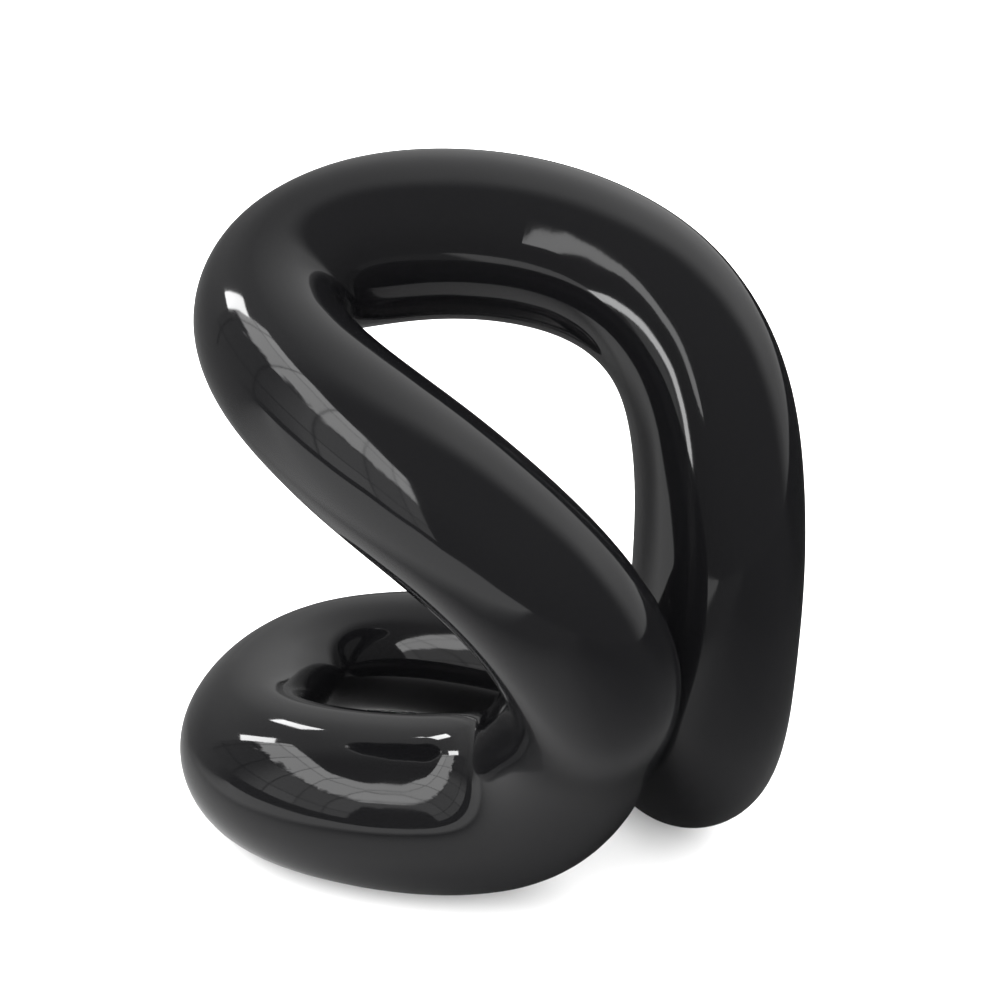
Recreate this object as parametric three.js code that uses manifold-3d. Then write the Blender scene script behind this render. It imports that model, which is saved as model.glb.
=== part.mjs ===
// Looped stoneware knot: one endless hollow tube, slip-cast in six lengths that are luted end to
// end, standing on four felt pads. Millimetres, +Z up, origin on the floor under the middle.
import * as THREE from "three";
import { mergeVertices } from "three/addons/utils/BufferGeometryUtils.js";
import Module from "manifold-3d";

// Tube: nominal outer radius, and the wall that the casting slip leaves.
const TUBE_RADIUS = 19;
const WALL = 5;

// Clear faces that the tube runs along: the two side walls and the top of the arch, seen from the
// front, and the far side of the lower lobe's hole, seen from above.
const LEG_FACE_X = 37;
const HAIRPIN_FACE_X = 32;
const ARCH_TOP_Z = 135;
const LOBE_BACK_Y = 46;

// Clearance where the front bend passes the leg, and the gap that each luted joint keeps.
const PASSING_CLEARANCE = 3;
const LUTING_GAP = 0.3;

// Felt pads, the gap between pad and clay, and how deep the seats are ground into the underside.
const PAD_RADIUS = 5;
const PAD_THICKNESS = 1.5;
const PAD_GAP = 0.3;
const SEAT_DEPTH = 1;

// Steam vent through the underside.
const VENT_RADIUS = 2.5;

// Fineness of the facets.
const TUBE_SIDES = 24;
const STEPS_PER_POINT = 5;
const ROUND_SIDES = 32;

// Heights and sides that the route is hung from, all measured to the tube's centreline.
const R = TUBE_RADIUS;
const SEAT_Z = PAD_THICKNESS + PAD_GAP;
const UNDERSIDE_Z = SEAT_Z - SEAT_DEPTH;
const RIGHT = LEG_FACE_X + R;
const LEFT = -(HAIRPIN_FACE_X + R);
const BACK = LOBE_BACK_Y + R;
const TOP = ARCH_TOP_Z + R;
const LOW = UNDERSIDE_Z + R;

// A steering point of the route in mid-air. swell says how much fatter (+) or leaner (-) than
// TUBE_RADIUS the hand-finished tube is there.
function hanging(x, y, z, swell) {
  return { x, y, z, radius: R + swell };
}

// A steering point whose tube lies along the floor, with its underside lift above the seats' level.
function resting(x, y, lift, swell) {
  const radius = R + swell;
  return { x, y, z: UNDERSIDE_Z + radius + lift, radius };
}

// Height of a point that is a share of the way from the lower lobe up to the top run.
function rise(share) {
  return LOW + share * (TOP - LOW);
}

// Height of the front bend's outermost point.
const BEND_Z = rise(0.48);

// The route, in order round the loop. Bends are stated in tube radii, so they open with the tube.
const ROUTE = [
  // Front run, lobe end and back run, on the floor.
  resting(RIGHT - 2.45 * R, -1.3 * R, -3, 2),
  resting(LEFT + 0.45 * R, -0.8 * R, 1, 2),
  resting(LEFT - 0.7 * R, 0.5 * R, -1, -2),
  resting(LEFT - 0.2 * R, BACK - 0.15 * R, 1, -6),
  resting(LEFT + 1.9 * R, BACK, 0, -2),
  resting(RIGHT - 0.75 * R, BACK - 1.5 * R, 1, 0),
  // Foot and leg.
  resting(RIGHT, -0.2 * R, -3, 0),
  hanging(RIGHT - 0.05 * R, -1.15 * R, rise(0.35), 2),
  hanging(RIGHT + 0.2 * R, 0.1 * R, TOP - 1.2 * R, 0),
  // Top run and upper hairpin.
  hanging(RIGHT - 1.6 * R, 1.35 * R, TOP, 0),
  hanging(LEFT + 1.25 * R, 1.6 * R, TOP - 0.05 * R, 2),
  hanging(LEFT, 0.7 * R, TOP - 0.45 * R, -2),
  hanging(LEFT + 0.35 * R, -0.8 * R, TOP - 0.9 * R, -1),
  // Diagonal and front bend, which pass in front of the leg.
  hanging(LEFT + 1.9 * R, -2.3 * R, rise(0.795), 1),
  hanging(RIGHT - 2.3 * R, -2.9 * R - PASSING_CLEARANCE, BEND_Z + 1.3 * R, 0),
  hanging(RIGHT - 1.45 * R, -3 * R - PASSING_CLEARANCE, BEND_Z, 1),
  hanging(RIGHT - 1.7 * R, -1.75 * R - PASSING_CLEARANCE, BEND_Z - 1.4 * R, 0),
];

// Places along the route are counted in steering points: 0 is nearest the first one, 1 the second.
// Cast lengths, in order, each with the place where it starts. The last runs on to the first's.
const CASTINGS = [
  { name: "lower_hairpin_casting", start: 0.4 },
  { name: "foot_bend_casting", start: 4.2 },
  { name: "upper_bend_casting", start: 7.2 },
  { name: "upper_hairpin_casting", start: 9.2 },
  { name: "diagonal_casting", start: 12.6 },
  { name: "front_bend_casting", start: 14.8 },
];

// Pads and vent.
const PADS = [
  { name: "felt_pad_front", place: 0.65 },
  { name: "felt_pad_left", place: 2.2 },
  { name: "felt_pad_back", place: 4 },
  { name: "felt_pad_foot", place: 5.4 },
];
const VENT_PLACE = 4.7;

// The centreline: a closed uniform cubic B-spline steered by the route, with the radius blended
// the same way.
class LoopCurve extends THREE.Curve {
  constructor(route) {
    super();
    this.route = route;
  }

  // Steps along the curve are even between steering points, so that a place keeps its piece.
  getUtoTmapping(u) {
    return u;
  }

  // One value of the route, such as x or radius, at parameter t from 0 to 1.
  blend(t, key) {
    const count = this.route.length;
    const span = Math.floor(t * count);
    const u = t * count - span;
    const weights = [
      (1 - u) ** 3 / 6,
      (3 * u ** 3 - 6 * u ** 2 + 4) / 6,
      (-3 * u ** 3 + 3 * u ** 2 + 3 * u + 1) / 6,
      u ** 3 / 6,
    ];
    let sum = 0;
    weights.forEach((weight, k) => {
      sum += weight * this.route[(span - 1 + k + count) % count][key];
    });
    return sum;
  }

  getPoint(t, target = new THREE.Vector3()) {
    return target.set(this.blend(t, "x"), this.blend(t, "y"), this.blend(t, "z"));
  }

  getRadius(t) {
    return this.blend(t, "radius");
  }

  // Point at a place counted in steering points.
  getPlace(place) {
    return this.getPoint(place / this.route.length);
  }
}

const loop = new LoopCurve(ROUTE);
const LOOP_STEPS = ROUTE.length * STEPS_PER_POINT;
const frames = loop.computeFrenetFrames(LOOP_STEPS, true);
const wasm = await Module();
wasm.setup();

// Closed three.js geometry to a solid.
function toSolid(geometry) {
  geometry.deleteAttribute("normal");
  geometry.deleteAttribute("uv");
  const merged = mergeVertices(geometry, 1e-4);
  return new wasm.Manifold(new wasm.Mesh({
    numProp: 3,
    vertProperties: new Float32Array(merged.attributes.position.array),
    triVerts: new Uint32Array(merged.index.array),
  }));
}

// Solid to three.js geometry.
function toGeometry(solid) {
  const mesh = solid.getMesh();
  const geometry = new THREE.BufferGeometry();
  geometry.setAttribute("position", new THREE.BufferAttribute(mesh.vertProperties, 3));
  geometry.setIndex(new THREE.BufferAttribute(mesh.triVerts, 1));
  geometry.computeVertexNormals();
  return geometry;
}

// Straight hollow bar of unit length along z, with its outer face 2 from the axis and its bore 1.
function unitPipe(steps) {
  const outer = 2;
  const bore = 1;
  const ring = new THREE.Shape().absarc(0, 0, outer, 0, 2 * Math.PI);
  ring.holes.push(new THREE.Path().absarc(0, 0, bore, 0, 2 * Math.PI, true));
  return new THREE.ExtrudeGeometry(ring, {
    steps,
    depth: 1,
    bevelEnabled: false,
    curveSegments: TUBE_SIDES / 2,
  });
}

// One cast length: a straight pipe laid round the loop from one step to another, with half a
// luting gap trimmed from each end.
function castLength(from, to) {
  const pipe = unitPipe(to - from);
  const position = pipe.attributes.position;
  const point = new THREE.Vector3();
  for (let i = 0; i < position.count; i += 1) {
    point.fromBufferAttribute(position, i);
    const step = from + Math.round(point.z * (to - from));
    const wrapped = step % LOOP_STEPS;
    const level = 2 - Math.hypot(point.x, point.y);
    const angle = Math.atan2(point.y, point.x);
    const radius = loop.getRadius(wrapped / LOOP_STEPS) - WALL * level;
    const trim = (step === from) - (step === to);
    point.copy(loop.getPoint(wrapped / LOOP_STEPS));
    point.addScaledVector(frames.tangents[wrapped], (trim * LUTING_GAP) / 2);
    point.addScaledVector(frames.normals[wrapped], radius * Math.cos(angle));
    point.addScaledVector(frames.binormals[wrapped], radius * Math.sin(angle));
    position.setXYZ(i, point.x, point.y, point.z);
  }
  return toSolid(pipe);
}

// Everything below the seats' level, as ground away on a flat lap.
function lap() {
  const reach = 4 * (RIGHT - LEFT);
  const slab = new THREE.BoxGeometry(reach, reach, R);
  slab.translate(0, 0, SEAT_Z - R / 2);
  return toSolid(slab);
}

// Steam vent, from below the floor up into the bore.
function ventDrill() {
  const centre = loop.getPlace(VENT_PLACE);
  const drill = new THREE.CylinderGeometry(VENT_RADIUS, VENT_RADIUS, centre.z, ROUND_SIDES);
  drill.rotateX(Math.PI / 2);
  drill.translate(centre.x, centre.y, centre.z / 2);
  return toSolid(drill);
}

// Felt disc with its underside on the floor.
function padGeometry(place) {
  const centre = loop.getPlace(place);
  const disc = new THREE.CylinderGeometry(PAD_RADIUS, PAD_RADIUS, PAD_THICKNESS, ROUND_SIDES);
  disc.rotateX(Math.PI / 2);
  disc.translate(centre.x, centre.y, PAD_THICKNESS / 2);
  return disc;
}

function glazedStoneware() {
  return new THREE.MeshStandardMaterial({ color: 0x0b0b0c, roughness: 0.06, metalness: 0 });
}

function blackFelt() {
  return new THREE.MeshStandardMaterial({ color: 0x1b1b1c, roughness: 0.95, metalness: 0 });
}

const group = new THREE.Group();

function addMesh(name, geometry, material) {
  const mesh = new THREE.Mesh(geometry, material);
  mesh.name = name;
  group.add(mesh);
}

const cutters = lap().add(ventDrill());
CASTINGS.forEach(({ name, start }, k) => {
  const next = CASTINGS[(k + 1) % CASTINGS.length].start;
  const end = next > start ? next : next + ROUTE.length;
  const from = Math.round(start * STEPS_PER_POINT);
  const to = Math.round(end * STEPS_PER_POINT);
  addMesh(name, toGeometry(castLength(from, to).subtract(cutters)), glazedStoneware());
});
PADS.forEach(({ name, place }) => addMesh(name, padGeometry(place), blackFelt()));

export default group;
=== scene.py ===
"""Looped knot ornament in glossy black stoneware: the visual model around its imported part."""

import logging
import math
from dataclasses import dataclass
from dataclasses import field
from enum import Enum

import bmesh
import bpy
import numpy
from mathutils import Matrix
from mathutils import Vector
from mathutils import noise


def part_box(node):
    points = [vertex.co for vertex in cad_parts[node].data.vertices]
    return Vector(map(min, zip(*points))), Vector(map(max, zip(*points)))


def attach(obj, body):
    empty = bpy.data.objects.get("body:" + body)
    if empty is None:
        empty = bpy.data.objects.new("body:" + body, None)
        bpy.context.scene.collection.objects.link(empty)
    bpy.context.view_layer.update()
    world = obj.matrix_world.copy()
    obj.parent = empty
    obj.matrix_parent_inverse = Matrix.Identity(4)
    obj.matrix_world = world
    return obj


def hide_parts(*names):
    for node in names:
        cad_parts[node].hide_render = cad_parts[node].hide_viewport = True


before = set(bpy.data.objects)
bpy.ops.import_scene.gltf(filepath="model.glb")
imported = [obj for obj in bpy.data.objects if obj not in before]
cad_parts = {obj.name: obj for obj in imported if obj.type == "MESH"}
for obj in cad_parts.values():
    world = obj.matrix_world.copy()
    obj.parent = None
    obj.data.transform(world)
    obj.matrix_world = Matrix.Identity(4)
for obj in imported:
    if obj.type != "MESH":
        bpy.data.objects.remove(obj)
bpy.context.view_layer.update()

logging.basicConfig(level=logging.INFO, format="%(name)s: %(message)s")
LOG = logging.getLogger("looped_knot")

MM = 0.001
BODY = "root"

# Level of the ground seats above the floor.
SEAT_Z = 1.8 * MM

# Settings that many nodes share: a range that eases in and out, and a mix of two colours.
SMOOTH = {"interpolation_type": "SMOOTHSTEP"}
COLOURS = {"data_type": "RGBA"}


# ---------------------------------------------------------------------------- small helpers


def linear(hex_colour: str) -> tuple[float, float, float, float]:
    """Turn an sRGB colour into scene-linear RGBA.

    Args:
        hex_colour: six hex digits, with or without a leading #.

    Returns:
        Red, green and blue in linear light, and an alpha of 1.
    """
    digits = hex_colour.lstrip("#")
    channels = []
    for start in (0, 2, 4):
        value = int(digits[start:start + 2], 16) / 255
        low = value / 12.92
        high = ((value + 0.055) / 1.055) ** 2.4
        channels.append(low if value <= 0.04045 else high)
    return (*channels, 1.0)


def add_node(tree: bpy.types.NodeTree, kind: str, settings: dict | None = None,
             inputs: dict | None = None) -> bpy.types.Node:
    """Add a node, set its properties, and set or link its inputs.

    Args:
        tree: node tree that the node goes into.
        kind: type name of the node.
        settings: property names and their values.
        inputs: input names or numbers, each with a value or with an output socket to link.

    Returns:
        The new node.
    """
    node = tree.nodes.new(kind)
    for name, value in (settings or {}).items():
        setattr(node, name, value)
    for key, value in (inputs or {}).items():
        socket = node.inputs[key]
        if isinstance(value, bpy.types.NodeSocket):
            tree.links.new(value, socket)
        else:
            socket.default_value = value
    return node


def new_material(name: str) -> tuple[bpy.types.Material, bpy.types.NodeTree]:
    """Make an empty node material.

    Args:
        name: the material's name.

    Returns:
        The material and its node tree, with no nodes in it.
    """
    material = bpy.data.materials.new(name)
    material.use_nodes = True
    material.node_tree.nodes.clear()
    return material, material.node_tree


def set_ramp(node: bpy.types.Node, stops: list[tuple[float, tuple]]) -> bpy.types.Node:
    """Give a colour ramp its stops.

    Args:
        node: a colour ramp node.
        stops: positions from 0 to 1, each with an RGBA colour.

    Returns:
        The same node.
    """
    elements = node.color_ramp.elements
    while len(elements) < len(stops):
        elements.new(1.0)
    for element, (position, colour) in zip(elements, stops):
        element.position = position
        element.color = colour
    return node


def grey(value: float) -> tuple[float, float, float, float]:
    """Return a neutral linear RGBA colour."""
    return (value, value, value, 1.0)


def link_object(name: str, data: bpy.types.ID) -> bpy.types.Object:
    """Put data in the scene as an object at the origin."""
    made = bpy.data.objects.new(name, data)
    bpy.context.scene.collection.objects.link(made)
    return made


# ---------------------------------------------------------------------------- finishes


@dataclass(frozen=True)
class GlazedStonewareFinish:
    """Glossy black glaze over dark stoneware, dipped and fired.

    Molten glaze levels itself into glass, so the eye gets a deep black with sharp reflections that
    bend softly over faint hollows, a very fine orange peel, and a matt wiped line near the ground.
    """

    glaze_hex: str = "09090a"
    speck_hex: str = "201d1b"
    clay_hex: str = "2b2927"
    roughness: float = 0.055
    ior: float = 1.52
    hollow_size: float = 14 * MM
    peel_size: float = 1.6 * MM
    speck_size: float = 0.9 * MM
    wiped_height: float = 2.5 * MM
    wiped_waver: float = 0.5 * MM
    waver_size: float = 5 * MM
    hollow_depth: float = 0.12 * MM
    peel_depth: float = 0.0025 * MM

    def build(self) -> bpy.types.Material:
        """Make the material.

        Returns:
            The glaze, which reads Object coordinates.
        """
        material, tree = new_material("glossy_black_glaze")
        place = add_node(tree, "ShaderNodeTexCoord").outputs["Object"]
        hollows = add_node(tree, "ShaderNodeTexNoise", inputs={
            "Vector": place, "Scale": 1 / self.hollow_size, "Detail": 1.0, "Roughness": 0.4})
        peel = add_node(tree, "ShaderNodeTexNoise", inputs={
            "Vector": place, "Scale": 1 / self.peel_size, "Detail": 2.0, "Roughness": 0.5})
        specks = add_node(tree, "ShaderNodeTexVoronoi", inputs={
            "Vector": place, "Scale": 1 / self.speck_size})
        # Wiped band: below a wavering height the glaze was sponged off before firing.
        waver = add_node(tree, "ShaderNodeTexNoise", inputs={
            "Vector": place, "Scale": 1 / self.waver_size, "Detail": 3.0})
        height = add_node(tree, "ShaderNodeSeparateXYZ", inputs={"Vector": place})
        edge = add_node(tree, "ShaderNodeMath", {"operation": "MULTIPLY_ADD"}, {
            0: waver.outputs["Fac"], 1: 2 * self.wiped_waver,
            2: self.wiped_height - self.wiped_waver})
        above = add_node(tree, "ShaderNodeMath", {"operation": "SUBTRACT"}, {
            0: height.outputs["Z"], 1: edge.outputs["Value"]})
        bare = add_node(tree, "ShaderNodeMapRange", inputs={
            "Value": above.outputs["Value"], "From Min": -0.08 * MM, "From Max": 0.08 * MM,
            "To Min": 1.0, "To Max": 0.0})
        # Iron specks barely lift the black, as in most stoneware glazes.
        fleck = add_node(tree, "ShaderNodeMapRange", inputs={
            "Value": specks.outputs["Distance"], "From Min": 0.02, "From Max": 0.16,
            "To Min": 1.0, "To Max": 0.0})
        faint = add_node(tree, "ShaderNodeMath", {"operation": "MULTIPLY"}, {
            0: fleck.outputs["Result"], 1: 0.12})
        glaze = add_node(tree, "ShaderNodeMix", COLOURS, {
            "Factor": faint.outputs["Value"], "A": linear(self.glaze_hex),
            "B": linear(self.speck_hex)})
        colour = add_node(tree, "ShaderNodeMix", COLOURS, {
            "Factor": bare.outputs["Result"], "A": glaze.outputs["Result"],
            "B": linear(self.clay_hex)})
        sheen = add_node(tree, "ShaderNodeMapRange", inputs={
            "Value": hollows.outputs["Fac"], "From Min": 0.3, "From Max": 0.7,
            "To Min": self.roughness * 0.7, "To Max": self.roughness * 1.4})
        rough = add_node(tree, "ShaderNodeMix", {"data_type": "FLOAT"}, {
            "Factor": bare.outputs["Result"], "A": sheen.outputs["Result"], "B": 0.8})
        wave = add_node(tree, "ShaderNodeBump", inputs={
            "Strength": 1.0, "Distance": self.hollow_depth, "Height": hollows.outputs["Fac"]})
        skin = add_node(tree, "ShaderNodeBump", inputs={
            "Strength": 1.0, "Distance": self.peel_depth, "Height": peel.outputs["Fac"],
            "Normal": wave.outputs["Normal"]})
        shader = add_node(tree, "ShaderNodeBsdfPrincipled", inputs={
            "Base Color": colour.outputs["Result"], "Roughness": rough.outputs["Result"],
            "IOR": self.ior, "Normal": skin.outputs["Normal"]})
        add_node(tree, "ShaderNodeOutputMaterial", inputs={"Surface": shader.outputs["BSDF"]})
        return material


@dataclass(frozen=True)
class GroundClayFinish:
    """Bare black stoneware, fired and then ground on a flat lap.

    Without glaze the clay is a dull charcoal with pale grog grains, and the lap leaves it flat with
    short fine scratches.
    """

    clay_hex: str = "2e2b29"
    pale_hex: str = "3b3734"
    grog_hex: str = "6f6a63"
    ior: float = 1.5
    grog_size: float = 0.7 * MM
    scratch_width: float = 0.25 * MM

    def build(self) -> bpy.types.Material:
        """Make the material.

        Returns:
            The ground clay, which reads Object coordinates.
        """
        material, tree = new_material("ground_bare_stoneware")
        place = add_node(tree, "ShaderNodeTexCoord").outputs["Object"]
        grains = add_node(tree, "ShaderNodeTexVoronoi", inputs={
            "Vector": place, "Scale": 1 / self.grog_size})
        cloud = add_node(tree, "ShaderNodeTexNoise", inputs={
            "Vector": place, "Scale": 1 / (4 * MM), "Detail": 4.0})
        # Scratches are noise drawn out 14 to 1 along the stroke of the lap.
        stroke = add_node(tree, "ShaderNodeMapping", inputs={
            "Vector": place, "Rotation": (0.0, 0.0, math.radians(34)),
            "Scale": (1 / 14, 1.0, 1.0)})
        scratches = add_node(tree, "ShaderNodeTexNoise", inputs={
            "Vector": stroke.outputs["Vector"], "Scale": 1 / self.scratch_width})
        grog = add_node(tree, "ShaderNodeMapRange", inputs={
            "Value": grains.outputs["Distance"], "From Min": 0.1, "From Max": 0.25,
            "To Min": 0.55, "To Max": 0.0})
        shade = add_node(tree, "ShaderNodeMix", COLOURS, {
            "Factor": cloud.outputs["Fac"], "A": linear(self.clay_hex), "B": linear(self.pale_hex)})
        colour = add_node(tree, "ShaderNodeMix", COLOURS, {
            "Factor": grog.outputs["Result"], "A": shade.outputs["Result"],
            "B": linear(self.grog_hex)})
        rough = add_node(tree, "ShaderNodeMapRange", inputs={
            "Value": scratches.outputs["Fac"], "To Min": 0.6, "To Max": 0.9})
        bump = add_node(tree, "ShaderNodeBump", inputs={
            "Strength": 0.6, "Distance": 0.04 * MM, "Height": scratches.outputs["Fac"]})
        shader = add_node(tree, "ShaderNodeBsdfPrincipled", inputs={
            "Base Color": colour.outputs["Result"], "Roughness": rough.outputs["Result"],
            "IOR": self.ior, "Normal": bump.outputs["Normal"]})
        add_node(tree, "ShaderNodeOutputMaterial", inputs={"Surface": shader.outputs["BSDF"]})
        return material


@dataclass(frozen=True)
class FeltFinish:
    """Black pressed wool felt, die cut.

    Matted fibres about a fifth of a millimetre thick give a dull dark grey that breaks up into
    short hairs, with a soft sheen at a low angle.
    """

    fibre_hex: str = "18181a"
    lint_hex: str = "3a3a3c"
    fibre_width: float = 0.2 * MM

    def build(self) -> bpy.types.Material:
        """Make the material.

        Returns:
            The felt, which reads Object coordinates.
        """
        material, tree = new_material("pressed_wool_felt")
        place = add_node(tree, "ShaderNodeTexCoord").outputs["Object"]
        clumps = add_node(tree, "ShaderNodeTexNoise", inputs={
            "Vector": place, "Scale": 1 / (1.5 * MM), "Detail": 3.0})
        fibres = add_node(tree, "ShaderNodeTexNoise", inputs={
            "Vector": place, "Scale": 1 / self.fibre_width, "Detail": 4.0, "Distortion": 2.5})
        mixed = add_node(tree, "ShaderNodeMath", {"operation": "MULTIPLY"}, {
            0: clumps.outputs["Fac"], 1: fibres.outputs["Fac"]})
        colour = add_node(tree, "ShaderNodeMix", COLOURS, {
            "Factor": mixed.outputs["Value"], "A": linear(self.fibre_hex),
            "B": linear(self.lint_hex)})
        bump = add_node(tree, "ShaderNodeBump", inputs={
            "Strength": 0.9, "Distance": 0.12 * MM, "Height": fibres.outputs["Fac"]})
        shader = add_node(tree, "ShaderNodeBsdfPrincipled", inputs={
            "Base Color": colour.outputs["Result"], "Roughness": 0.95,
            "Sheen Weight": 0.35, "Sheen Roughness": 0.5, "Normal": bump.outputs["Normal"]})
        add_node(tree, "ShaderNodeOutputMaterial", inputs={"Surface": shader.outputs["BSDF"]})
        return material


@dataclass(frozen=True)
class AdhesiveFinish:
    """Acrylic adhesive film between felt and clay, a cloudy amber that shows only at its rim."""

    film_hex: str = "8d8772"
    pale_hex: str = "a39d88"

    def build(self) -> bpy.types.Material:
        """Make the material.

        Returns:
            The adhesive, which reads Object coordinates.
        """
        material, tree = new_material("acrylic_adhesive_film")
        place = add_node(tree, "ShaderNodeTexCoord").outputs["Object"]
        clouds = add_node(tree, "ShaderNodeTexNoise", inputs={
            "Vector": place, "Scale": 1 / (0.8 * MM), "Detail": 3.0})
        colour = add_node(tree, "ShaderNodeMix", COLOURS, {
            "Factor": clouds.outputs["Fac"], "A": linear(self.film_hex),
            "B": linear(self.pale_hex)})
        shader = add_node(tree, "ShaderNodeBsdfPrincipled", inputs={
            "Base Color": colour.outputs["Result"], "Roughness": 0.35, "IOR": 1.48})
        add_node(tree, "ShaderNodeOutputMaterial", inputs={"Surface": shader.outputs["BSDF"]})
        return material


# ---------------------------------------------------------------------------- the tube


@dataclass(frozen=True)
class SteeringPoint:
    """A point that steers the centreline, with the tube's outer radius there, in metres."""

    x: float
    y: float
    z: float
    radius: float


@dataclass(frozen=True)
class KnotRoute:
    """Closed route of the tube's centreline, stated by the faces that the tube runs along.

    A rise is a share of the way from the lower lobe up to the top run.
    """

    tube_radius: float = 19 * MM
    leg_face_x: float = 37 * MM
    hairpin_face_x: float = 32 * MM
    arch_top_z: float = 135 * MM
    lobe_back_y: float = 46 * MM
    passing_clearance: float = 3 * MM
    seat_z: float = SEAT_Z
    seat_depth: float = 1 * MM
    leg_rise: float = 0.35
    bend_rise: float = 0.48
    diagonal_rise: float = 0.795

    def hanging(self, x: float, y: float, z: float, swell: float) -> SteeringPoint:
        """Return a point in mid-air whose tube is swell millimetres fatter than nominal."""
        return SteeringPoint(x, y, z, self.tube_radius + swell * MM)

    def resting(self, x: float, y: float, lift: float, swell: float) -> SteeringPoint:
        """Return a point whose tube lies along the floor, its underside lift millimetres up."""
        radius = self.tube_radius + swell * MM
        return SteeringPoint(x, y, self.seat_z - self.seat_depth + radius + lift * MM, radius)

    def points(self) -> list[SteeringPoint]:
        """Lay out the route.

        Returns:
            The steering points in order round the loop, starting with the front run.
        """
        r = self.tube_radius
        right = self.leg_face_x + r
        left = -(self.hairpin_face_x + r)
        back = self.lobe_back_y + r
        top = self.arch_top_z + r
        low = self.seat_z - self.seat_depth + r
        bend_z = low + self.bend_rise * (top - low)
        front = -self.passing_clearance
        return [
            self.resting(right - 2.2 * r, -1.15 * r, -3, 4),
            self.resting(left + 0.45 * r, -0.8 * r, 1, 2),
            self.resting(left - 0.6 * r, 0.5 * r, -1, 0),
            self.resting(left - 0.15 * r, back - 0.25 * r, 1, -5),
            self.resting(left + 1.9 * r, back, 0, -2),
            self.resting(right - 0.75 * r, back - 1.5 * r, 1, 0),
            self.resting(right, -0.2 * r, -3, 0),
            self.hanging(right - 0.05 * r, -1.15 * r, low + self.leg_rise * (top - low), 2),
            self.hanging(right + 0.2 * r, 0.1 * r, top - 1.2 * r, 0),
            self.hanging(right - 1.6 * r, 1.35 * r, top, 0),
            self.hanging(left + 1.25 * r, 1.6 * r, top - 0.05 * r, 2),
            self.hanging(left, 0.7 * r, top - 0.45 * r, -2),
            self.hanging(left + 0.35 * r, -0.8 * r, top - 0.9 * r, -1),
            self.hanging(left + 1.9 * r, -2.3 * r, low + self.diagonal_rise * (top - low), 1),
            self.hanging(right - 2.3 * r, -2.9 * r + front, bend_z + 1.3 * r, 0),
            self.hanging(right - 1.45 * r, -3 * r + front, bend_z, 1),
            self.hanging(right - 1.65 * r, -1.75 * r + front, bend_z - 1.3 * r, 0),
        ]


class Casting(Enum):
    """The six cast lengths, each with the place on the route where it starts."""

    LOWER_HAIRPIN = ("lower_hairpin", 0.4)
    FOOT_BEND = ("foot_bend", 4.2)
    UPPER_BEND = ("upper_bend", 7.2)
    UPPER_HAIRPIN = ("upper_hairpin", 9.2)
    DIAGONAL = ("diagonal", 12.6)
    FRONT_BEND = ("front_bend", 14.8)

    @property
    def node(self) -> str:
        """Return the name of the part's node that the casting stands for."""
        return f"{self.value[0]}_casting"

    @property
    def piece(self) -> str:
        """Return the name of the visual piece."""
        return f"{self.value[0]}_glazed"

    @property
    def start(self) -> float:
        """Return the place where the casting starts, in steering points."""
        return self.value[1]


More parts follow.
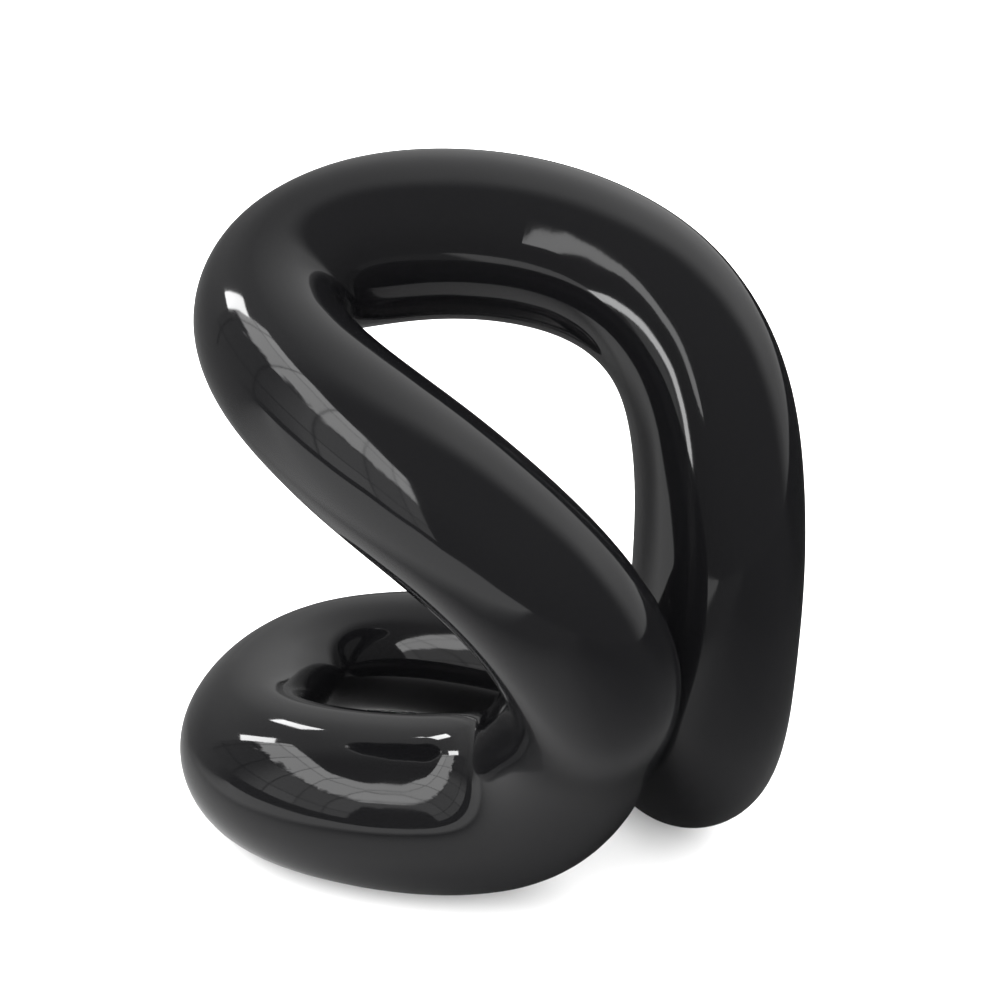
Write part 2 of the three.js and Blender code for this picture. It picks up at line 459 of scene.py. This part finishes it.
@dataclass
class StonewareLoop:
    """The hollow glazed tube: one skin, parted into its cast lengths along their hidden joints."""

    route: KnotRoute = field(default_factory=KnotRoute)
    glaze: bpy.types.Material | None = None
    ground_clay: bpy.types.Material | None = None
    clay_index: int = 1
    wall: float = 5 * MM
    rings_per_point: int = 25
    bevel_rounds: int = 34
    first_place: float = 1.0
    hand_size: float = 30 * MM
    hand_depth: float = 0.22 * MM
    pinch_starts: float = 0.25
    pinch_full: float = 0.85
    pinch_passes: int = 160
    calm_starts: float = 0.3
    calm_span: float = 0.3
    calm_most: float = 0.9
    calm_passes: int = 220
    skin_least: float = 0.7
    vent_place: float = 4.7
    vent_radius: float = 2.5 * MM
    vent_sides: int = 48
    sides: int = 0

    def skin(self) -> bmesh.types.BMesh:
        """Sweep the outer skin along the route, with the unevenness that hand finishing leaves.

        Returns:
            A closed mesh whose vertices hold the skin's normal in the layer "skin_normal", and
            the number of their ring along the route in the layer "ring".
        """
        points = self.route.points()
        curve = bpy.data.curves.new("loop_line", "CURVE")
        curve.dimensions = "3D"
        curve.twist_mode = "MINIMUM"
        curve.bevel_depth = self.route.tube_radius
        curve.bevel_resolution = self.bevel_rounds
        spline = curve.splines.new("NURBS")
        spline.points.add(len(points) - 1)
        for target, point in zip(spline.points, points):
            target.co = (point.x, point.y, point.z, 1.0)
            target.radius = point.radius / self.route.tube_radius
        spline.order_u = 4
        spline.use_cyclic_u = True
        spline.resolution_u = self.rings_per_point
        holder = link_object("loop_line", curve)
        graph = bpy.context.evaluated_depsgraph_get()
        swept = bpy.data.meshes.new_from_object(holder.evaluated_get(graph))
        bpy.data.objects.remove(holder)
        mesh = bmesh.new()
        mesh.from_mesh(swept)
        bpy.data.meshes.remove(swept)
        rings = self.rings_per_point * len(points)
        self.sides = len(mesh.verts) // rings
        ring = mesh.verts.layers.int.new("ring")
        for vertex in mesh.verts:
            vertex[ring] = vertex.index // self.sides
        bmesh.ops.recalc_face_normals(mesh, faces=mesh.faces)
        self.soften_pinches(mesh, ring)
        mesh.normal_update()
        shifts = []
        for vertex in mesh.verts:
            lump = noise.noise(vertex.co / self.hand_size)
            shifts.append(vertex.normal * lump * self.hand_depth)
        for vertex, shift in zip(mesh.verts, shifts):
            vertex.co += shift
        mesh.normal_update()
        normal = mesh.verts.layers.float_vector.new("skin_normal")
        for vertex, calm in zip(mesh.verts, self.calm_normals(mesh, rings)):
            vertex[normal] = Vector(calm).normalized()
        LOG.info("skin: %d rings of %d", rings, self.sides)
        return mesh

    def soften_pinches(self, mesh: bmesh.types.BMesh,
                       ring: bmesh.types.BMLayerItem) -> None:
        """Fill the inner side of each tight bend a little, as slip does in a real casting.

        Args:
            mesh: the whole skin, which is changed in place.
            ring: the layer that holds each vertex's ring.
        """
        total = len(mesh.verts) // self.sides
        centres = [Vector() for _ in range(total)]
        for vertex in mesh.verts:
            centres[vertex[ring]] += vertex.co / self.sides
        reach = self.rings_per_point // 2
        bend = []
        for number, centre in enumerate(centres):
            before = centres[number - reach]
            after = centres[(number + reach) % total]
            stride = (after - before).length / 2
            bend.append((before + after - 2 * centre) / stride ** 2)
        data = bpy.data.meshes.new("pinches")
        mesh.to_mesh(data)
        holder = link_object("pinches", data)
        group = holder.vertex_groups.new(name="pinch")
        for vertex in mesh.verts:
            number = vertex[ring]
            inside = (vertex.co - centres[number]).dot(bend[number])
            share = (inside - self.pinch_starts) / (self.pinch_full - self.pinch_starts)
            share = min(max(share, 0.0), 1.0)
            group.add([vertex.index], share * share * (3 - 2 * share), "REPLACE")
        soft = holder.modifiers.new("soften", "SMOOTH")
        soft.factor = 0.5
        soft.iterations = self.pinch_passes
        soft.vertex_group = group.name
        graph = bpy.context.evaluated_depsgraph_get()
        softened = bpy.data.meshes.new_from_object(holder.evaluated_get(graph))
        for vertex, moved in zip(mesh.verts, softened.vertices):
            vertex.co = moved.co
        bpy.data.objects.remove(holder)
        bpy.data.meshes.remove(softened)

    def calm_normals(self, mesh: bmesh.types.BMesh, rings: int) -> numpy.ndarray:
        """Let the skin's normals turn more evenly where the tube bends hardest.

        Args:
            mesh: the whole skin, ring by ring.
            rings: how many rings it has.

        Returns:
            One normal for each vertex, in the mesh's order.
        """
        spots = numpy.array([v.co for v in mesh.verts]).reshape(rings, self.sides, 3)
        normals = numpy.array([v.normal for v in mesh.verts]).reshape(rings, self.sides, 3)
        centres = spots.mean(axis=1)
        reach = self.rings_per_point // 2
        before = numpy.roll(centres, reach, axis=0)
        after = numpy.roll(centres, -reach, axis=0)
        stride = numpy.linalg.norm(after - before, axis=1) / 2
        bend = numpy.linalg.norm(before + after - 2 * centres, axis=1) / stride ** 2
        share = (bend * self.route.tube_radius - self.calm_starts) / self.calm_span
        weight = (self.calm_most * numpy.clip(share, 0, 1))[:, None, None]
        for _ in range(self.calm_passes):
            along = numpy.roll(normals, 1, axis=0) + numpy.roll(normals, -1, axis=0)
            around = numpy.roll(normals, 1, axis=1) + numpy.roll(normals, -1, axis=1)
            even = (2 * along + around) / 6
            normals = normals * (1 - weight) + even * weight
        return normals.reshape(-1, 3)

    def ring_at(self, place: float) -> int:
        """Return the ring nearest a place on the route."""
        return round((place - self.first_place) * self.rings_per_point)

    def part(self, skin: bmesh.types.BMesh, start: float, end: float) -> bmesh.types.BMesh:
        """Take one cast length out of the skin and give it its wall.

        Args:
            skin: the whole skin.
            start: place where the length starts.
            end: place where it ends, after start.

        Returns:
            A closed hollow mesh, with its underside ground flat.
        """
        piece = skin.copy()
        ring = piece.verts.layers.int["ring"]
        total = len(piece.verts) // self.sides
        first = self.ring_at(start)
        span = self.ring_at(end) - first
        outside = [v for v in piece.verts if (v[ring] - first) % total > span]
        bmesh.ops.delete(piece, geom=outside, context="VERTS")
        bmesh.ops.solidify(piece, geom=piece.faces[:], thickness=self.wall)
        self.grind(piece)
        return piece

    def grind(self, piece: bmesh.types.BMesh) -> None:
        """Grind away what hangs below the seats' level, and close the flats in bare clay.

        Args:
            piece: hollow length, which is changed in place.
        """
        cut = bmesh.ops.bisect_plane(
            piece, geom=piece.verts[:] + piece.edges[:] + piece.faces[:], dist=1e-7,
            plane_co=(0, 0, self.route.seat_z), plane_no=(0, 0, -1), clear_outer=True)
        rim = [e for e in cut["geom_cut"] if isinstance(e, bmesh.types.BMEdge)]
        if not rim:
            return
        flats = bmesh.ops.edgeloop_fill(piece, edges=rim, mat_nr=self.clay_index)["faces"]
        for face in flats:
            face.normal_update()
            if face.normal.z > 0:
                face.normal_flip()

    def vent_cutter(self, skin: bmesh.types.BMesh) -> bpy.types.Object:
        """Make the drill for the steam vent.

        Args:
            skin: the whole skin, which says where the tube runs.

        Returns:
            An upright cylinder from below the floor up into the bore.
        """
        ring = skin.verts.layers.int["ring"]
        wanted = self.ring_at(self.vent_place) % (len(skin.verts) // self.sides)
        around = [v.co for v in skin.verts if v[ring] == wanted]
        centre = sum(around, Vector()) / len(around)
        drill = bmesh.new()
        bmesh.ops.create_cone(
            drill, cap_ends=True, segments=self.vent_sides, radius1=self.vent_radius,
            radius2=self.vent_radius, depth=centre.z + 2 * MM,
            matrix=Matrix.Translation((centre.x, centre.y, centre.z / 2)))
        for face in drill.faces:
            face.material_index = self.clay_index
        data = bpy.data.meshes.new("vent_drill")
        drill.to_mesh(data)
        drill.free()
        data.materials.append(self.glaze)
        data.materials.append(self.ground_clay)
        return link_object("vent_drill", data)

    def finish_piece(self, casting: Casting, piece: bmesh.types.BMesh,
                     drill: bpy.types.Object | None) -> bpy.types.Object:
        """Turn a length into an object, with reflections that run on unbroken over its joints.

        Args:
            casting: which length it is.
            piece: its mesh, which is freed.
            drill: the vent's cutter, or None where the length has no vent.

        Returns:
            The finished piece, riding on the body and standing for its node.
        """
        data = bpy.data.meshes.new(casting.piece)
        piece.to_mesh(data)
        piece.free()
        data.materials.append(self.glaze)
        data.materials.append(self.ground_clay)
        made = link_object(casting.piece, data)
        if drill is not None:
            cut = made.modifiers.new("vent", "BOOLEAN")
            cut.operation = "DIFFERENCE"
            cut.solver = "EXACT"
            cut.object = drill
            graph = bpy.context.evaluated_depsgraph_get()
            data = bpy.data.meshes.new_from_object(made.evaluated_get(graph))
            made.modifiers.clear()
            made.data = data
            data.name = casting.piece
        self.set_normals(data)
        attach(made, BODY)
        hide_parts(casting.node)
        LOG.info("%s: %d faces", casting.piece, len(data.polygons))
        return made

    def set_normals(self, data: bpy.types.Mesh) -> None:
        """Give each corner the whole skin's normal, reversed in the bore and flat on cut faces.

        Args:
            data: a length's mesh, which is changed in place.
        """
        data.shade_smooth()
        stored = data.attributes["skin_normal"].data
        normals = [Vector()] * len(data.loops)
        for polygon in data.polygons:
            for corner in polygon.loop_indices:
                outward = Vector(stored[data.loops[corner].vertex_index].vector)
                facing = outward.dot(polygon.normal)
                clay = polygon.material_index == self.clay_index
                if clay or abs(facing) < self.skin_least * outward.length:
                    normals[corner] = polygon.normal.copy()
                else:
                    normals[corner] = (outward * math.copysign(1, facing)).normalized()
        data.normals_split_custom_set(normals)

    def build(self) -> list[bpy.types.Object]:
        """Build every cast length.

        Returns:
            The pieces, in order round the loop.
        """
        skin = self.skin()
        drill = self.vent_cutter(skin)
        castings = list(Casting)
        count = len(self.route.points())
        made = []
        for casting, following in zip(castings, castings[1:] + castings[:1]):
            end = following.start
            if end <= casting.start:
                end += count
            piece = self.part(skin, casting.start, end)
            vented = casting is Casting.FOOT_BEND
            made.append(self.finish_piece(casting, piece, drill if vented else None))
        bpy.data.objects.remove(drill)
        skin.free()
        return made


# ---------------------------------------------------------------------------- the pads


@dataclass
class FeltPads:
    """Die-cut felt discs, each on a film of adhesive under a ground seat."""

    felt: bpy.types.Material | None = None
    adhesive: bpy.types.Material | None = None
    names: tuple[str, ...] = (
        "felt_pad_front", "felt_pad_left", "felt_pad_back", "felt_pad_foot")
    seat_z: float = SEAT_Z
    edge_round: float = 0.3 * MM
    film_inset: float = 0.25 * MM
    sides: int = 96
    nap_steps: tuple[float, ...] = (
        0.12 * MM, 0.3 * MM, 0.6 * MM, 0.7 * MM, 0.8 * MM, 0.9 * MM)
    fuzz_depth: float = 0.05 * MM
    fuzz_size: float = 0.5 * MM

    def disc(self, low: Vector, high: Vector) -> bmesh.types.BMesh:
        """Shape the felt, with soft cut edges and a slightly napped surface.

        Args:
            low: lowest corner of the room that the disc has.
            high: highest corner of it.

        Returns:
            A closed mesh.
        """
        centre = (low + high) / 2
        radius = (high.x - low.x) / 2 - self.fuzz_depth
        mesh = bmesh.new()
        bmesh.ops.create_cone(
            mesh, cap_ends=True, segments=self.sides, radius1=radius, radius2=radius,
            depth=high.z - low.z, matrix=Matrix.Translation(centre))
        caps = [f for f in mesh.faces if abs(f.normal.z) > 0.9]
        rims = [e for f in caps for e in f.edges]
        bmesh.ops.bevel(
            mesh, geom=rims, offset=self.edge_round, offset_type="OFFSET", segments=3,
            profile=0.5, affect="EDGES", material=-1)
        for step in self.nap_steps:
            caps = [f for f in mesh.faces if abs(f.normal.z) > 0.9 and len(f.verts) > 4]
            bmesh.ops.inset_individual(mesh, faces=caps, thickness=step)
        mesh.normal_update()
        shifts = []
        for vertex in mesh.verts:
            nap = abs(noise.noise(vertex.co / self.fuzz_size))
            shifts.append(vertex.normal * (nap - 1) * self.fuzz_depth)
        for vertex, shift in zip(mesh.verts, shifts):
            vertex.co += shift
        return mesh

    def film(self, low: Vector, high: Vector) -> bmesh.types.BMesh:
        """Shape the adhesive film between felt and seat.

        Args:
            low: lowest corner of the felt.
            high: highest corner of the felt.

        Returns:
            A closed thin disc.
        """
        centre = (low + high) / 2
        radius = (high.x - low.x) / 2 - self.edge_round - self.film_inset
        depth = self.seat_z - high.z
        centre.z = high.z + depth / 2
        mesh = bmesh.new()
        bmesh.ops.create_cone(
            mesh, cap_ends=True, segments=self.sides, radius1=radius, radius2=radius,
            depth=depth, matrix=Matrix.Translation(centre))
        return mesh

    def build(self) -> list[bpy.types.Object]:
        """Build every pad with its film.

        Returns:
            The pieces: four felts and four films.
        """
        made = []
        for name in self.names:
            low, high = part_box(name)
            parts = (
                (f"{name}_disc", self.disc(low, high), self.felt),
                (f"{name}_adhesive", self.film(low, high), self.adhesive),
            )
            for piece_name, mesh, material in parts:
                data = bpy.data.meshes.new(piece_name)
                mesh.to_mesh(data)
                mesh.free()
                data.materials.append(material)
                data.shade_smooth()
                piece = link_object(piece_name, data)
                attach(piece, BODY)
                made.append(piece)
                LOG.info("%s: %d faces", piece_name, len(data.polygons))
            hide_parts(name)
        return made


# ---------------------------------------------------------------------------- the studio


@dataclass(frozen=True)
class DaylitTable:
    """The table top that the glaze mirrors, as a glow: bright by the window, dim elsewhere.

    It fades to the right and to the back, ends in front along a slant, and has a painted shadow of
    the ornament on it. Places are in metres, levels are linear.
    """

    fade_starts_x: float = -0.14
    fade_ends_x: float = 0.28
    fade: tuple[tuple[float, float], ...] = (
        (0.0, 1.08), (0.16, 0.86), (0.3, 0.58), (0.45, 0.3), (0.65, 0.17), (1.0, 0.1))
    edge_slant: float = 1.6
    edge_starts: float = -0.1
    edge_ends: float = -0.42
    left_starts_x: float = -0.1
    left_ends_x: float = -0.2
    beyond: float = 0.2
    shadow_squeeze: tuple[float, float, float] = (0.9, 1.0, 0.0)
    shadow_shift: tuple[float, float, float] = (-0.0135, -0.01, 0.0)
    shadow_core: float = 0.035
    shadow_rim: float = 0.085
    shadow_level: float = 0.12
    back_starts_y: float = -0.06
    back_ends_y: float = 0.12
    back_level: float = 0.25

    def build(self) -> bpy.types.Material:
        """Make the material.

        Returns:
            An emission that reads Object coordinates.
        """
        material, tree = new_material("daylit_table_top")
        place = add_node(tree, "ShaderNodeTexCoord").outputs["Object"]
        along = add_node(tree, "ShaderNodeSeparateXYZ", inputs={"Vector": place})
        # Painted light: the glow is brightest on the window's side and fades to the right.
        share = add_node(tree, "ShaderNodeMapRange", inputs={
            "Value": along.outputs["X"], "From Min": self.fade_starts_x,
            "From Max": self.fade_ends_x})
        fade = set_ramp(add_node(tree, "ShaderNodeValToRGB", inputs={
            "Fac": share.outputs["Result"]}), [
            (position, grey(level)) for position, level in self.fade])
        # The table ends in front, further away on the window's side.
        reach = add_node(tree, "ShaderNodeMath", {"operation": "MULTIPLY_ADD"}, {
            0: along.outputs["X"], 1: self.edge_slant, 2: along.outputs["Y"]})
        front = add_node(tree, "ShaderNodeMapRange", SMOOTH, {
            "Value": reach.outputs["Value"], "From Min": self.edge_starts,
            "From Max": self.edge_ends, "To Min": 1.0, "To Max": 0.0})
        left = add_node(tree, "ShaderNodeMapRange", SMOOTH, {
            "Value": along.outputs["X"], "From Min": self.left_starts_x,
            "From Max": self.left_ends_x})
        lit = add_node(tree, "ShaderNodeMath", {"operation": "MAXIMUM"}, {
            0: front.outputs["Result"], 1: left.outputs["Result"]})
        tone = add_node(tree, "ShaderNodeMix", COLOURS, {
            "Factor": lit.outputs["Value"], "A": grey(self.beyond),
            "B": fade.outputs["Color"]})
        # Painted shadow: the glow is dimmed round the ornament's foot, and further to the right, as
        # its shadow would be.
        about = add_node(tree, "ShaderNodeVectorMath", {"operation": "MULTIPLY_ADD"}, {
            0: place, 1: self.shadow_squeeze, 2: self.shadow_shift})
        far = add_node(tree, "ShaderNodeVectorMath", {"operation": "LENGTH"}, {
            0: about.outputs["Vector"]})
        shade = add_node(tree, "ShaderNodeMapRange", SMOOTH, {
            "Value": far.outputs["Value"], "From Min": self.shadow_core,
            "From Max": self.shadow_rim, "To Min": self.shadow_level, "To Max": 1.0})
        # Painted light: the glow dims away from the window, towards the back of the room.
        back = add_node(tree, "ShaderNodeMapRange", SMOOTH, {
            "Value": along.outputs["Y"], "From Min": self.back_starts_y,
            "From Max": self.back_ends_y, "To Min": 1.0, "To Max": self.back_level})
        level = add_node(tree, "ShaderNodeMath", {"operation": "MULTIPLY"}, {
            0: shade.outputs["Result"], 1: back.outputs["Result"]})
        light = add_node(tree, "ShaderNodeEmission", inputs={
            "Color": tone.outputs["Result"], "Strength": level.outputs["Value"]})
        add_node(tree, "ShaderNodeOutputMaterial", inputs={"Surface": light.outputs["Emission"]})
        return material


@dataclass(frozen=True)
class GardenWindow:
    """The window that the glaze mirrors, as a glow: sky over tree tops, behind panes and bars.

    Places are in metres, levels are linear.
    """

    leaf_scale: float = 7.0
    skyline_z: float = 0.5
    skyline_wander: float = 0.42
    treetop_low: float = -0.02
    treetop_high: float = 0.03
    garden_level: float = 0.95
    sky_level: float = 4.3
    dim_starts_y: float = -0.35
    dim_ends_y: float = 0.0
    dim_share: float = 0.3
    dim_pane: float = 0.8
    pane_width: float = 0.29
    pane_height: float = 0.34
    bar_width: float = 0.008
    bar_level: float = 0.35

    def build(self) -> bpy.types.Material:
        """Make the material.

        Returns:
            An emission that reads Object coordinates.
        """
        material, tree = new_material("garden_through_window")
        place = add_node(tree, "ShaderNodeTexCoord").outputs["Object"]
        split = add_node(tree, "ShaderNodeSeparateXYZ", inputs={"Vector": place})
        upright = add_node(tree, "ShaderNodeCombineXYZ", inputs={
            "X": split.outputs["Y"], "Y": split.outputs["Z"]})
        leaves = add_node(tree, "ShaderNodeTexNoise", inputs={
            "Vector": upright.outputs["Vector"], "Scale": self.leaf_scale, "Detail": 6.0,
            "Roughness": 0.62, "Distortion": 1.2})
        # Tree tops wander up and down by a tenth of a metre.
        skyline = add_node(tree, "ShaderNodeMath", {"operation": "MULTIPLY_ADD"}, {
            0: leaves.outputs["Fac"], 1: self.skyline_wander, 2: self.skyline_z})
        height = add_node(tree, "ShaderNodeMath", {"operation": "SUBTRACT"}, {
            0: split.outputs["Z"], 1: skyline.outputs["Value"]})
        sky = add_node(tree, "ShaderNodeMapRange", inputs={
            "Value": height.outputs["Value"], "From Min": self.treetop_low,
            "From Max": self.treetop_high, "To Min": self.garden_level,
            "To Max": self.sky_level})
        # The garden is darker towards the back of the room.
        depth = add_node(tree, "ShaderNodeMapRange", SMOOTH, {
            "Value": split.outputs["Y"], "From Min": self.dim_starts_y, "From Max": self.dim_ends_y,
            "To Min": 1.0, "To Max": self.dim_share})
        open_sky = add_node(tree, "ShaderNodeMapRange", inputs={
            "Value": height.outputs["Value"], "From Min": self.treetop_low,
            "From Max": self.treetop_high})
        share = add_node(tree, "ShaderNodeMath", {"operation": "MAXIMUM"}, {
            0: depth.outputs["Result"], 1: open_sky.outputs["Result"]})
        bright = add_node(tree, "ShaderNodeMath", {"operation": "MULTIPLY"}, {
            0: sky.outputs["Result"], 1: share.outputs["Value"]})
        panes = add_node(tree, "ShaderNodeTexBrick", {"offset": 0.0}, {
            "Vector": upright.outputs["Vector"], "Color1": grey(1.0), "Color2": grey(self.dim_pane),
            "Mortar": grey(self.bar_level), "Scale": 1.0, "Mortar Size": self.bar_width,
            "Mortar Smooth": 0.3, "Brick Width": self.pane_width,
            "Row Height": self.pane_height})
        light = add_node(tree, "ShaderNodeEmission", inputs={
            "Color": panes.outputs["Color"], "Strength": bright.outputs["Value"]})
        add_node(tree, "ShaderNodeOutputMaterial", inputs={"Surface": light.outputs["Emission"]})
        return material


class Backdrop(Enum):
    """The grey levels that the glaze mirrors where no card or window stands."""

    DARK_SIDE = 0.13
    OVERHEAD = 0.17
    BEHIND_LOW = 0.5
    BEHIND_HIGH = 0.75


@dataclass(frozen=True)
class DimRoom:
    """The surroundings: even daylight for everything but mirrors, which see a dim room.

    Limits are parts of a direction's length along each axis.
    """

    daylight: float = 3.6
    behind_starts: float = -0.1
    behind_full: float = 0.3
    overhead_starts: float = 0.1
    overhead_full: float = 0.8
    high_starts: float = 0.05
    high_full: float = 0.5
    aside_reach: float = 0.35
    left_share: float = 0.55
    right_share: float = 1.35

    def build(self) -> None:
        """Make the world and give it to the scene."""
        world = bpy.data.worlds.new("studio_room")
        world.use_nodes = True
        tree = world.node_tree
        tree.nodes.clear()
        way = add_node(tree, "ShaderNodeTexCoord").outputs["Generated"]
        split = add_node(tree, "ShaderNodeSeparateXYZ", inputs={"Vector": way})
        behind = add_node(tree, "ShaderNodeMapRange", SMOOTH, {
            "Value": split.outputs["Y"], "From Min": self.behind_starts,
            "From Max": self.behind_full})
        up = add_node(tree, "ShaderNodeMapRange", SMOOTH, {
            "Value": split.outputs["Z"], "From Min": self.overhead_starts,
            "From Max": self.overhead_full})
        front = add_node(tree, "ShaderNodeMix", COLOURS, {
            "Factor": up.outputs["Result"], "A": grey(Backdrop.DARK_SIDE.value),
            "B": grey(Backdrop.OVERHEAD.value)})
        higher = add_node(tree, "ShaderNodeMapRange", SMOOTH, {
            "Value": split.outputs["Z"], "From Min": self.high_starts,
            "From Max": self.high_full})
        rear = add_node(tree, "ShaderNodeMix", COLOURS, {
            "Factor": higher.outputs["Result"], "A": grey(Backdrop.BEHIND_LOW.value),
            "B": grey(Backdrop.BEHIND_HIGH.value)})
        # Behind, the room is lighter on the right.
        aside = add_node(tree, "ShaderNodeMapRange", inputs={
            "Value": split.outputs["X"], "From Min": -self.aside_reach,
            "From Max": self.aside_reach, "To Min": self.left_share,
            "To Max": self.right_share})
        lit = add_node(tree, "ShaderNodeVectorMath", {"operation": "SCALE"}, {
            0: rear.outputs["Result"], "Scale": aside.outputs["Result"]})
        mirrored = add_node(tree, "ShaderNodeMix", COLOURS, {
            "Factor": behind.outputs["Result"], "A": front.outputs["Result"],
            "B": lit.outputs["Vector"]})
        rays = add_node(tree, "ShaderNodeLightPath")
        colour = add_node(tree, "ShaderNodeMix", COLOURS, {
            "Factor": rays.outputs["Is Glossy Ray"], "A": grey(self.daylight),
            "B": mirrored.outputs["Result"]})
        sky = add_node(tree, "ShaderNodeBackground", inputs={"Color": colour.outputs["Result"]})
        add_node(tree, "ShaderNodeOutputWorld", inputs={"Surface": sky.outputs["Background"]})
        bpy.context.scene.world = world


@dataclass(frozen=True)
class Card:
    """An upright or level card that only mirrors see."""

    name: str
    low: tuple[float, float, float]
    high: tuple[float, float, float]


@dataclass(frozen=True)
class Lamp:
    """A small bright panel that faces the ornament, and the pieces whose glaze it marks.

    One that is alone isn't shaded by any other piece.
    """

    name: str
    place: tuple[float, float, float]
    width: float
    height: float
    radiance: float
    castings: tuple[Casting, ...]
    alone: bool = False


@dataclass
class Studio:
    """Pale floor, camera, a window with its cards, and the dim room that the glaze mirrors."""

    target: Vector = field(default_factory=lambda: Vector((5.5, -1.9, 97.6)) * MM)
    elevation: float = 28.0
    distance: float = 599.4 * MM
    lens: float = 91.5
    sensor: float = 36.0
    floor_reach: float = 6.0
    floor_white: float = 0.88
    sun_strength: float = 1.0
    sun_spread: float = 70.0
    sun_height: float = 48.0
    sun_side: float = 62.0
    table: Card = Card("mirrored_table", (-3.0, -3.0, -0.004), (1.2, 2.0, -0.004))
    window: Card = Card("garden_window", (-0.75, -1.07, 0.17), (-0.75, 0.36, 1.2))
    lamps: tuple[Lamp, ...] = (
        Lamp("far_window", (-0.75, 0.42, 0.77), 0.12, 0.3, 15.0, tuple(Casting)),
        Lamp("back_window", (-0.40, 0.80, 0.82), 0.10, 0.25, 14.0,
             (Casting.LOWER_HAIRPIN, Casting.FRONT_BEND)),
        Lamp("near_window", (-0.22, -0.75, 0.78), 0.10, 0.6, 3.0,
             (Casting.UPPER_BEND, Casting.FOOT_BEND)),
        Lamp("low_window", (-0.40, -0.53, 0.22), 0.06, 0.24, 8.0,
             (Casting.UPPER_BEND, Casting.FOOT_BEND), alone=True),
    )

    def camera(self) -> bpy.types.Object:
        """Make the camera.

        Returns:
            The camera, which is the scene's.
        """
        data = bpy.data.cameras.new("camera")
        data.lens = self.lens
        data.sensor_width = self.sensor
        made = link_object("camera", data)
        tilt = math.radians(self.elevation)
        away = Vector((0, -math.cos(tilt), math.sin(tilt)))
        made.location = self.target + self.distance * away
        made.rotation_euler = (math.radians(90) - tilt, 0, 0)
        bpy.context.scene.camera = made
        return made

    def floor(self) -> bpy.types.Object:
        """Lay the pale floor, which the glaze doesn't mirror: its cards do that.

        Returns:
            The floor, which is only the stage.
        """
        mesh = bmesh.new()
        bmesh.ops.create_grid(mesh, x_segments=1, y_segments=1, size=self.floor_reach)
        data = bpy.data.meshes.new("pale_floor")
        mesh.to_mesh(data)
        mesh.free()
        material, tree = new_material("matt_white_paper")
        shader = add_node(tree, "ShaderNodeBsdfDiffuse", inputs={"Color": grey(self.floor_white)})
        add_node(tree, "ShaderNodeOutputMaterial", inputs={"Surface": shader.outputs["BSDF"]})
        data.materials.append(material)
        made = link_object("pale_floor", data)
        made.visible_glossy = False
        return made

    def stand(self, card: Card, material: bpy.types.Material) -> bpy.types.Object:
        """Put up a card that only mirrors see.

        Args:
            card: its name and its corners, which agree in x or in z.
            material: its light.

        Returns:
            The card, which is only the stage.
        """
        low = Vector(card.low)
        size = Vector(card.high) - low
        mesh = bmesh.new()
        bmesh.ops.create_grid(mesh, x_segments=1, y_segments=1, size=0.5)
        bmesh.ops.translate(mesh, verts=mesh.verts, vec=(0.5, 0.5, 0))
        if size.x == 0:
            bmesh.ops.rotate(mesh, verts=mesh.verts, cent=(0, 0, 0), matrix=Matrix.Rotation(
                math.radians(-90), 3, "Y"))
        scale = [max(abs(value), 1.0 * MM) for value in size]
        bmesh.ops.scale(mesh, verts=mesh.verts, vec=scale)
        bmesh.ops.translate(mesh, verts=mesh.verts, vec=low)
        data = bpy.data.meshes.new(card.name)
        mesh.to_mesh(data)
        mesh.free()
        data.materials.append(material)
        made = link_object(card.name, data)
        made.visible_camera = False
        made.visible_diffuse = False
        made.visible_shadow = False
        made.visible_transmission = False
        return made

    def sun(self) -> bpy.types.Object:
        """Hang the soft daylight that gives the floor its shadow to the right.

        Returns:
            The light, which the glaze doesn't mirror.
        """
        data = bpy.data.lights.new("soft_daylight", "SUN")
        data.energy = self.sun_strength
        data.angle = math.radians(self.sun_spread)
        made = link_object("soft_daylight", data)
        made.rotation_euler = (
            math.radians(90 - self.sun_height), 0, math.radians(-self.sun_side))
        made.visible_glossy = False
        return made

    def light(self, lamp: Lamp) -> bpy.types.Object:
        """Hang a small bright panel, which marks only its own castings.

        Args:
            lamp: its place, size and brightness.

        Returns:
            The light.
        """
        data = bpy.data.lights.new(lamp.name, "AREA")
        data.shape = "RECTANGLE"
        data.size = lamp.width
        data.size_y = lamp.height
        data.energy = lamp.radiance * math.pi * lamp.width * lamp.height
        made = link_object(lamp.name, data)
        made.location = lamp.place
        facing = (self.target - made.location).to_track_quat("-Z", "Y").to_matrix().to_4x4()
        made.rotation_euler = facing.to_euler()
        made.visible_diffuse = False
        marked = bpy.data.collections.new(f"{lamp.name}_marks")
        for casting in lamp.castings:
            marked.objects.link(bpy.data.objects[casting.piece])
        made.light_linking.receiver_collection = marked
        if lamp.alone:
            made.light_linking.blocker_collection = marked
        return made

    def build(self) -> None:
        """Set up everything that isn't part of the ornament."""
        bpy.context.scene.view_settings.view_transform = "Standard"
        self.camera()
        self.floor()
        DimRoom().build()
        self.sun()
        self.stand(self.table, DaylitTable().build())
        self.stand(self.window, GardenWindow().build())
        for lamp in self.lamps:
            self.light(lamp)


def main() -> None:
    """Build the studio and the ornament."""
    loop = StonewareLoop(
        glaze=GlazedStonewareFinish().build(), ground_clay=GroundClayFinish().build())
    loop.build()
    pads = FeltPads(felt=FeltFinish().build(), adhesive=AdhesiveFinish().build())
    pads.build()
    Studio().build()


if __name__ == "__main__":
    main()
